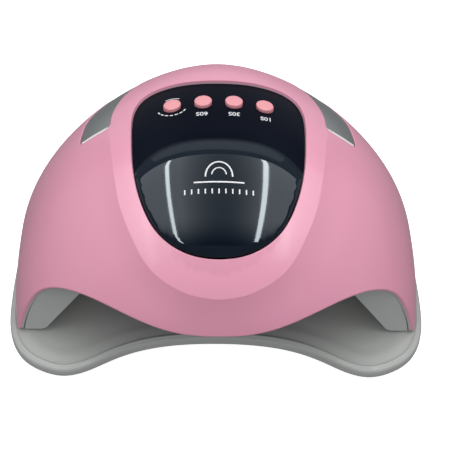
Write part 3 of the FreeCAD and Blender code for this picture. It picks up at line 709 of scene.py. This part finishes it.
def panel():
    """The panel's cover, with mesh lines along its fold and a hole for each button."""
    holes = [ring_at(place, BUTTON_HOLE + THIN_LIP) for place in BUTTONS.values()]
    fold_x = np.arange(-FOLD_HALF, FOLD_HALF + 0.1, FOLD_STEP)
    fold = np.stack([fold_x, fold_at(fold_x)], 1)
    border = grow(PANEL, -PANEL_GAP - THIN_LIP)
    fold = fold[inside(fold, grow(border, -FOLD_SHORT))]
    guides = [fold + np.array([0, shift]) for shift in (-FOLD_LEAD, 0.0, FOLD_LEAD)]
    solid = skin(panel_surface, border, holes, guides, PANEL_STEP, PANEL_WALL, (THIN_LIP, THIN_LIP))
    return solid.piece("panel", "lamp", LOOKS["panel"], "panel_black", "panel_cover")


# The inserts

INSERT_DROP, INSERT_WALL, INSERT_GAP, INSERT_BEVEL = 0.35, 0.9, 0.25, 2.2
BEVEL_DROP, BEVEL_ROUND = 1.3, 0.1
INSERT_END = ((58.4, 12.6), (76.4, 9.8))      # the line of the insert's front end
INSERT_STEP, BEVEL_GUIDES, GUIDE_SHORT = 1.4, (-0.4, 0.0, 0.4), 0.5


def behind_end(x, y):
    """How far a plan point lies behind the line of the insert's front end."""
    (ax, ay), (bx, by) = INSERT_END
    return ((bx - ax) * (y - ay) - (by - ay) * (np.abs(x) - ax)) / math.hypot(bx - ax, by - ay)


def insert_surface(flat):
    """The insert's face: just under the dome, with a bevel turned down along its front end."""
    spot = from_plane(flat)
    bevel = np.clip(1 - behind_end(spot[:, 0], spot[:, 1]) / INSERT_BEVEL, 0, 1)
    bevel = np.sqrt(bevel**2 + BEVEL_ROUND**2) - BEVEL_ROUND
    return spot - normals_of(from_plane, flat) * (INSERT_DROP + BEVEL_DROP * bevel)[:, None]


def insert(outline, name, side):
    """One side insert, with a polished bevel at its front end, whose near-white colour is a painted
    highlight.
    """
    border = plan_to_plane(grow(outline, -INSERT_GAP - THIN_LIP))
    (ax, ay), (bx, by) = INSERT_END
    sign = 1 if outline[0, 0] > 0 else -1
    line = np.stack([np.linspace(ax, bx, 20) * sign, np.linspace(ay, by, 20)], 1)
    guides = []
    for shift in BEVEL_GUIDES:
        guide = plan_to_plane(line + np.array([0.0, INSERT_BEVEL + shift]))
        guides.append(guide[inside(guide, grow(border, -GUIDE_SHORT))])
    solid = skin(insert_surface, border, [], guides, INSERT_STEP, INSERT_WALL, (THIN_LIP, THIN_LIP))
    piece = solid.piece(name, "lamp", LOOKS["insert"], "insert_silver", f"side_insert_{side}")
    piece.data.materials.append(LOOKS["polished_bevel_painted_highlight"])
    # faces on the bevel take the near-white painted highlight
    for face in piece.data.polygons:
        behind = behind_end(face.center.x / MM, face.center.y / MM - DOME_Y)
        face.material_index = int(behind < INSERT_BEVEL)
    return piece


# The base plate

PLATE_STEP, PLATE_PITCH = 1.8, 7.0
# How far outside the outline, and how high, from the underside's rim over the edge and its bead.
PLATE_PROFILE = [(-15.5, 0.8), (-1.6, 0.8), (-0.8, 1.0), (-0.2, 1.6), (0.0, 2.4), (0.0, 4.4), (-0.2, 5.5),
                 (-0.7, 6.3), (-1.3, 6.7), (-1.75, 6.9), (-1.95, 7.2), (-2.25, 7.46), (-2.65, 7.56),
                 (-3.1, 7.46), (-3.5, 7.2), (-3.9, 7.0), (-4.6, 6.92), (-6.0, 6.92), (-8.2, 6.98),
                 (-10.0, 6.98), (-11.6, 6.86), (-13.2, 6.64), (-15.0, 6.44), (-17.5, 6.35)]


def base():
    """The base plate: its profile taken round its outline, closed by a flat top and underside."""
    outline = oriented(smooth_loop(plate_points(), PLATE_STEP))
    profile = np.array(PLATE_PROFILE)
    along = np.gradient(profile, axis=0)
    facing = np.stack([along[:, 1], -along[:, 0]], 1)
    facing /= np.linalg.norm(facing, axis=1)[:, None]
    facing[0], facing[1], facing[-1] = (0, -1), (-0.0, -1), (0, 1)
    solid, rows = Solid(), []
    side = grow(outline, 1.0) - outline
    for (offset, z), (across, up) in zip(profile, facing):
        spots = grow(outline, offset)
        index = solid.add_points(np.column_stack([spots, np.full(len(spots), z)]))
        rows.append((index, np.column_stack([side * across, np.full(len(spots), up)])))
    for (low, low_normals), (high, high_normals) in zip(rows, rows[1:]):
        solid.strip(high, low, high_normals, low_normals)
    for row, up in ((rows[0], -1), (rows[-1], 1)):
        ring = solid.points[0 if up < 0 else len(profile) - 1]
        flat, faces, loops = cut_out(ring[:, :2], [], [], PLATE_PITCH)
        index = solid.add_points(np.column_stack([flat, np.full(len(flat), ring[0, 2])]))
        index[loops[0]] = row[0]
        chosen = index[faces if up > 0 else faces[:, ::-1]]
        solid.add_faces(chosen, np.tile([0, 0, up], (chosen.size, 1)))
    return solid.piece("base", "base", LOOKS["base"], "base_grey", "base_plate")


# The buttons

CAP_SKIRT, CAP_ROUND, CAP_CROWN, CAP_LEAN = 3.0, 0.9, 0.45, 0.85


def cap(name, place):
    """A round cap with a rounded rim, whose face leans with the panel."""
    spot = np.array([place], float)
    face = panel_surface(spot)[0, 2]
    tilt = normals_of(panel_surface, spot)[0]
    slope = -tilt[:2] / tilt[2] * CAP_LEAN
    radius = BUTTON_RADIUS
    turns = np.linspace(0, math.pi / 2, 7)
    profile = [(radius, -CAP_SKIRT, 1.0, 0.0)]
    rim = radius - CAP_ROUND
    profile += [(rim + CAP_ROUND * math.cos(t), BUTTON_HEIGHT - CAP_CROWN - CAP_ROUND * (1 - math.sin(t)),
                 math.cos(t), math.sin(t)) for t in turns]
    for share in (0.8, 0.55, 0.3, 0.12):
        profile.append((rim * share, BUTTON_HEIGHT - CAP_CROWN * share**2, 2 * CAP_CROWN * share / rim, 1.0))
    count = 48
    turn = np.arange(count) * 2 * math.pi / count
    solid, rows = Solid(), []
    for reach, height, across, up in profile:
        x, y = reach * np.cos(turn), reach * np.sin(turn)
        lean = (x * slope[0] + y * slope[1]) * (height > -1)      # the skirt's foot stays level
        index = solid.add_points(np.stack([place[0] + x, place[1] + y, face + height + lean], 1))
        normal = np.stack([across * np.cos(turn) - up * slope[0], across * np.sin(turn) - up * slope[1],
                           np.full(count, up)], 1)
        rows.append((index, normal))
    for (low, low_normals), (high, high_normals) in zip(rows, rows[1:]):
        solid.strip(high, low, high_normals, low_normals)
    top = np.array([-slope[0], -slope[1], 1.0])
    solid.add_faces([rows[-1][0]], np.tile(top, (count, 1)))
    solid.add_faces([rows[0][0][::-1]], np.tile([0, 0, -1], (count, 1)))
    return solid.piece(f"cap_{name}", f"button_{name}", LOOKS["button"], "button_pink", f"button_cap_{name}")


# Pad printed marks

INK = 0.05             # the print stands proud by this much
LETTER_WEIGHT = 0.012  # strokes are thickened by this share of the letters' size


def printed(name, flat, faces):
    """A thin closed print laid on the panel from a flat triangulated shape."""
    spot = panel_surface(flat)
    up = normals_of(panel_surface, flat)
    solid = Solid()
    top, under = solid.add_points(spot + up * INK), solid.add_points(spot - up * INK)
    solid.add_faces(top[faces], up[faces])
    solid.add_faces(under[faces[:, ::-1]], -up[faces[:, ::-1]])
    edges = {}
    for face in faces:
        for a, b in zip(face, np.roll(face, -1)):
            edges[(a, b)] = edges.get((a, b), 0) + 1
    for a, b in edges:
        if (b, a) not in edges:
            run = spot[b] - spot[a]
            out = np.cross(run, up[a])
            solid.add_faces([(top[b], top[a], under[a], under[b])], np.tile(out, (4, 1)))
    return solid.piece(name, "lamp", LOOKS["ink"], "panel_black")


def lettering(text, size, middle):
    """Flat triangles of a text, read from the rear, centred on middle."""
    curve = bpy.data.curves.new("text", "FONT")
    curve.body, curve.size, curve.align_x, curve.align_y = text, size, "CENTER", "CENTER"
    curve.offset = size * LETTER_WEIGHT
    holder = bpy.data.objects.new("text", curve)
    bpy.context.scene.collection.objects.link(holder)
    mesh = bpy.data.meshes.new_from_object(holder)
    flat = np.array([tuple(v.co)[:2] for v in mesh.vertices])
    mesh.calc_loop_triangles()
    faces = np.array([tuple(t.vertices) for t in mesh.loop_triangles])
    bpy.data.objects.remove(holder)
    bpy.data.curves.remove(curve)
    bpy.data.meshes.remove(mesh)
    flat, faces = joined(flat, faces)
    return facing_up(np.array(middle) - flat, faces)


def joined(flat, faces):
    """Merges points in the same place."""
    keys = np.round(flat, 4)
    _, first, back = np.unique(keys, axis=0, return_index=True, return_inverse=True)
    faces = back.reshape(-1)[faces]
    keep = (faces[:, 0] != faces[:, 1]) & (faces[:, 1] != faces[:, 2]) & (faces[:, 0] != faces[:, 2])
    return flat[first], faces[keep]


def facing_up(flat, faces):
    a, b, c = flat[faces[:, 0]], flat[faces[:, 1]], flat[faces[:, 2]]
    turn = (b[:, 0] - a[:, 0]) * (c[:, 1] - a[:, 1]) - (b[:, 1] - a[:, 1]) * (c[:, 0] - a[:, 0])
    faces = faces[np.abs(turn) > 1e-9]
    turn = turn[np.abs(turn) > 1e-9]
    faces[turn < 0] = faces[turn < 0][:, ::-1]
    return flat, faces


def ribbon(path, width):
    """Flat triangles of a stroke of even width along a path."""
    path = np.asarray(path, float)
    along = np.gradient(path, axis=0)
    along /= np.linalg.norm(along, axis=1)[:, None]
    side = np.stack([-along[:, 1], along[:, 0]], 1) * width / 2
    count = len(path)
    i = np.arange(count - 1)
    near, far = np.stack([i, i + 1, i + 1 + count], 1), np.stack([i, i + 1 + count, i + count], 1)
    faces = np.concatenate([near, far])
    return facing_up(np.concatenate([path - side, path + side]), faces)


def arc(middle, radius, start, end, tall=1.0, count=24):
    turn = np.radians(np.linspace(start, end, count))
    return np.stack([middle[0] + radius * np.cos(turn), middle[1] + radius * tall * np.sin(turn)], 1)


def gather(parts):
    flat, faces, start = [], [], 0
    for points, triangles in parts:
        flat.append(points)
        faces.append(triangles + start)
        start += len(points)
    return np.concatenate(flat), np.concatenate(faces)


LABELS = {"60S": (-9.0, 9.7), "30S": (8.4, 9.7), "10S": (25.6, 8.3)}
LABEL_SIZE = 4.4
DASH_RADIUS, DASH_SWEEP, DASH_STEP, DASH_WIDTH = 8.2, 13, 19, 0.7
DASH_START, DASH_END = 205, 335
OVER_RADIUS, OVER_START, OVER_END = 8.0, 62, 118
ARCH_HIGH = ((0, -38.0), 7.0, 0, 180, 1.3)           # middle, radius, start, end, stretch along Y
ARCH_LOW = ((0, -37.4), 3.8, 8, 172, 1.25)
SILL_HALF, SILL_Y = 13.0, -41.2
RAY_REACH, RAY_STEP, RAY_TOP, RAY_END = 17.5, 3.5, -45.0, -47.6
BOLD, MIDDLING, FINE, HAIR = 0.8, 0.7, 0.6, 0.5     # widths of the strokes


def marks():
    """The times under three buttons, a dashed arc at the fourth, and a pictogram of arches over rays."""
    for text, place in LABELS.items():
        printed(f"mark_{text.lower()}", *lettering(text, LABEL_SIZE, place))
    around = BUTTONS["low_heat"]
    ring = [ribbon(arc(around, DASH_RADIUS, start, start + DASH_SWEEP, count=6), DASH_WIDTH)
            for start in range(DASH_START, DASH_END, DASH_STEP)]
    ring.append(ribbon(arc(around, OVER_RADIUS, OVER_START, OVER_END, count=16), HAIR))
    printed("mark_low_heat", *gather(ring))
    sill = np.stack([np.linspace(-SILL_HALF, SILL_HALF, 14), np.full(14, SILL_Y)], 1)
    picture = [ribbon(arc(*ARCH_HIGH), BOLD), ribbon(arc(*ARCH_LOW), FINE), ribbon(sill, BOLD)]
    for x in np.arange(-RAY_REACH, RAY_REACH + 0.1, RAY_STEP):
        picture.append(ribbon(np.array([[x, RAY_TOP], [x, RAY_END]]), MIDDLING))
    printed("mark_lamp", *gather(picture))


# The stage

def area_light(name, place, facing, size, glow):
    """A plain rectangle of light of even radiance that shines along facing. size is across, then along."""
    light = bpy.data.lights.new(name, "AREA")
    light.shape, light.size, light.size_y = "RECTANGLE", *size
    light.energy = glow * math.pi * size[0] * size[1]
    lamp = bpy.data.objects.new(name, light)
    lamp.location = place
    lamp.rotation_euler = Vector(facing).to_track_quat("-Z", "Y").to_euler()
    lamp.visible_camera = False
    bpy.context.scene.collection.objects.link(lamp)
    return lamp


FLOOR_GLOW, FLOOR_HALF = 0.8, 4.0


def floor():
    half = FLOOR_HALF
    mesh = bpy.data.meshes.new("floor")
    mesh.from_pydata([(-half, -half, 0), (half, -half, 0), (half, half, 0), (-half, half, 0)], [],
                     [(0, 1, 2, 3)])
    look = plastic("white paper sweep", rgb(225, 225, 225), rgb(223, 223, 223), 0.9, cloud=3.0, grain=400.0)
    glow = look.node_tree.nodes["Principled BSDF"]
    glow.inputs["Emission Color"].default_value = (1.0, 1.0, 1.0, 1.0)
    glow.inputs["Emission Strength"].default_value = FLOOR_GLOW
    mesh.materials.append(look)
    ground = bpy.data.objects.new("floor", mesh)
    ground.visible_diffuse = ground.visible_glossy = False
    bpy.context.scene.collection.objects.link(ground)
    return ground


CEILING_SIDE, CEILING_DEPTH, CEILING_HEIGHT = 1.25, 0.95, 1.4
GLOW_MIDDLE, GLOW_LEAST, GLOW_GROWTH, GLOW_MOST = 0.06, 0.6, 5.5, 2.0
FADE_END, FADE_LEAST = -0.25, 0.1


def ceiling():
    """A dim ceiling that glows more towards its sides and fades out towards the front."""
    side, depth, height = CEILING_SIDE, CEILING_DEPTH, CEILING_HEIGHT
    mesh = bpy.data.meshes.new("ceiling")
    mesh.from_pydata([(-side, -depth, height), (-side, depth, height), (side, depth, height),
                      (side, -depth, height)], [], [(0, 1, 2, 3)])
    look = Look("ceiling glow")
    off = look.math("SUBTRACT", look.axis(0), GLOW_MIDDLE)
    growth = look.math("MULTIPLY", look.math("MULTIPLY", off, off), GLOW_GROWTH)
    glow = look.math("MINIMUM", look.math("ADD", growth, GLOW_LEAST), GLOW_MOST)
    fade = look.remap(look.axis(1), -depth, FADE_END, FADE_LEAST, 1.0, True)
    look.set(Base_Color=(0.0, 0.0, 0.0), Emission_Color=(1.0, 1.0, 1.0))
    look.set(Emission_Strength=look.math("MULTIPLY", glow, fade))
    mesh.materials.append(look.material)
    plane = bpy.data.objects.new("ceiling", mesh)
    plane.visible_camera = False
    bpy.context.scene.collection.objects.link(plane)
    return plane


DOWN = (0, 0, -1)
# Each light's place, direction, size and radiance. Strips and walls show in the gloss of the object.
STRIPS_AND_WALLS = {
    "strip_left": ((-0.585, -0.02, 1.38), DOWN, (0.05, 1.9), 15.0),
    "strip_right": ((0.57, 0.05, 1.38), DOWN, (0.07, 1.75), 15.0),
    "wall_left": ((-1.3, 0.05, 0.65), (1, 0, 0), (1.6, 1.1), 0.36),
    "wall_right": ((1.3, 0.05, 0.65), (-1, 0, 0), (1.6, 1.1), 0.36),
    "wall_rear": ((0.0, 1.05, 0.65), (0, -1, 0), (1.6, 1.1), 0.4),
}
SOFT_LIGHTS = {
    "key": ((0.0, -0.8, 1.3), (0, 0.8, -1.3), (1.4, 0.8), 0.85),
    "fill": ((0.0, -1.5, 0.75), (0, 1.5, -0.65), (2.4, 1.1), 1.15),
}
WORLD_COLOUR, WORLD_GLOW = (0.97, 0.985, 1.0, 1.0), 0.22


def stage():
    """World, lights, ceiling and floor. The key and the fill don't show in the gloss."""
    world = bpy.data.worlds.new("world")
    world.use_nodes = True
    background = world.node_tree.nodes["Background"]
    background.inputs["Color"].default_value = WORLD_COLOUR
    background.inputs["Strength"].default_value = WORLD_GLOW
    bpy.context.scene.world = world
    bpy.context.scene.view_settings.view_transform = "Standard"
    mirrored = [area_light(name, *facts) for name, facts in STRIPS_AND_WALLS.items()]
    soft = [area_light(name, *facts) for name, facts in SOFT_LIGHTS.items()]
    for light in soft:
        light.visible_glossy = False
    floor()
    ceiling()


CAMERA_AIM, CAMERA_DISTANCE = Vector((0.00565, -0.02162, 0.045)), 0.750
CAMERA_LENS, SENSOR_WIDTH = 107.1, 36.0
CAMERA_RISE, CAMERA_TURN, CAMERA_ROLL = math.radians(43.0), math.radians(-1.608), math.radians(1.506)


def camera():
    """The camera, in front of the lamp and above it."""
    data = bpy.data.cameras.new("camera")
    data.lens, data.sensor_width = CAMERA_LENS, SENSOR_WIDTH
    eye = bpy.data.objects.new("camera", data)
    level = math.cos(CAMERA_RISE)
    back = Vector((math.sin(CAMERA_TURN) * level, -math.cos(CAMERA_TURN) * level, math.sin(CAMERA_RISE)))
    eye.location = CAMERA_AIM + back * CAMERA_DISTANCE
    turn = back.to_track_quat("Z", "Y").to_matrix().to_4x4()
    eye.rotation_euler = (turn @ Matrix.Rotation(CAMERA_ROLL, 4, "Z")).to_euler()
    bpy.context.scene.collection.objects.link(eye)
    bpy.context.scene.camera = eye


for node, look in KEPT.items():
    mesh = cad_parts[node].data
    mesh.materials.clear()
    mesh.materials.append(LOOKS[look])

shell()
panel()
insert(INSERTS[0], "insert_right", "right")
insert(INSERTS[1], "insert_left", "left")
base()
for button, spot in BUTTONS.items():
    cap(button, spot)
marks()
stage()
camera()
